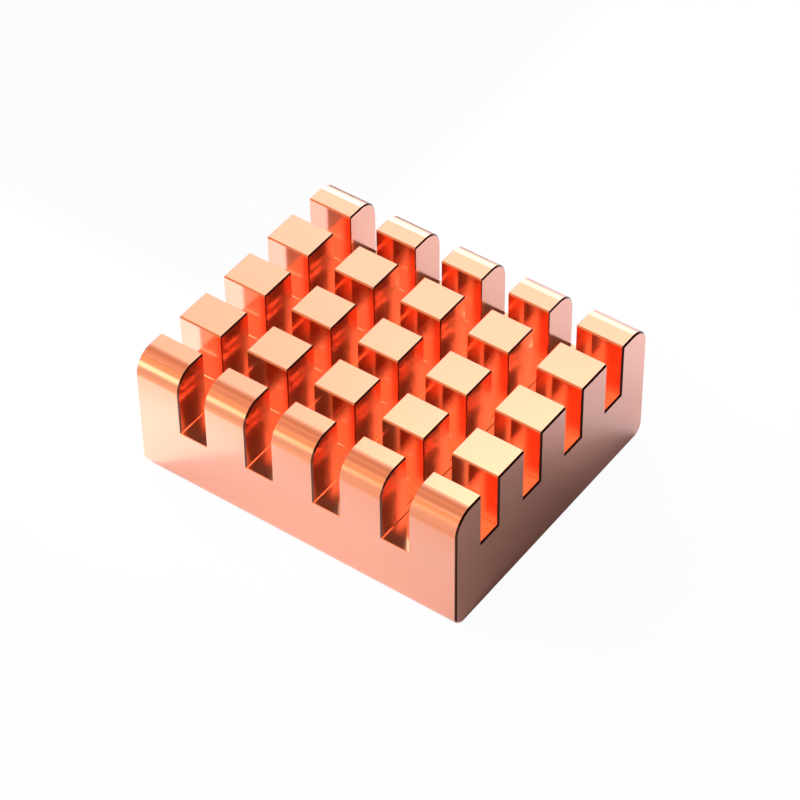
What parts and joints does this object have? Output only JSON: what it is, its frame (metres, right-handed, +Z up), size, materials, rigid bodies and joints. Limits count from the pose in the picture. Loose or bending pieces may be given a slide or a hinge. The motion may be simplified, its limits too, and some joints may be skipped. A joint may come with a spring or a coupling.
{
  "type": "heat sink",
  "caption": "Small one-piece copper heat sink: a rectangular base with square pins between crossed slots, the outer rows rounded over.",
  "frame": {"origin": "middle of the flat base face", "axes": "+X along the comb section's fins, +Y across them, +Z up out of the base towards the pin tops"},
  "size_m": [0.014, 0.012, 0.0055],
  "materials": {
    "copper": "bright bare copper, smooth drawn and sawn faces"
  },
  "bodies": {
    "root": {"heat_sink": "copper"}
  },
  "joints": []
}
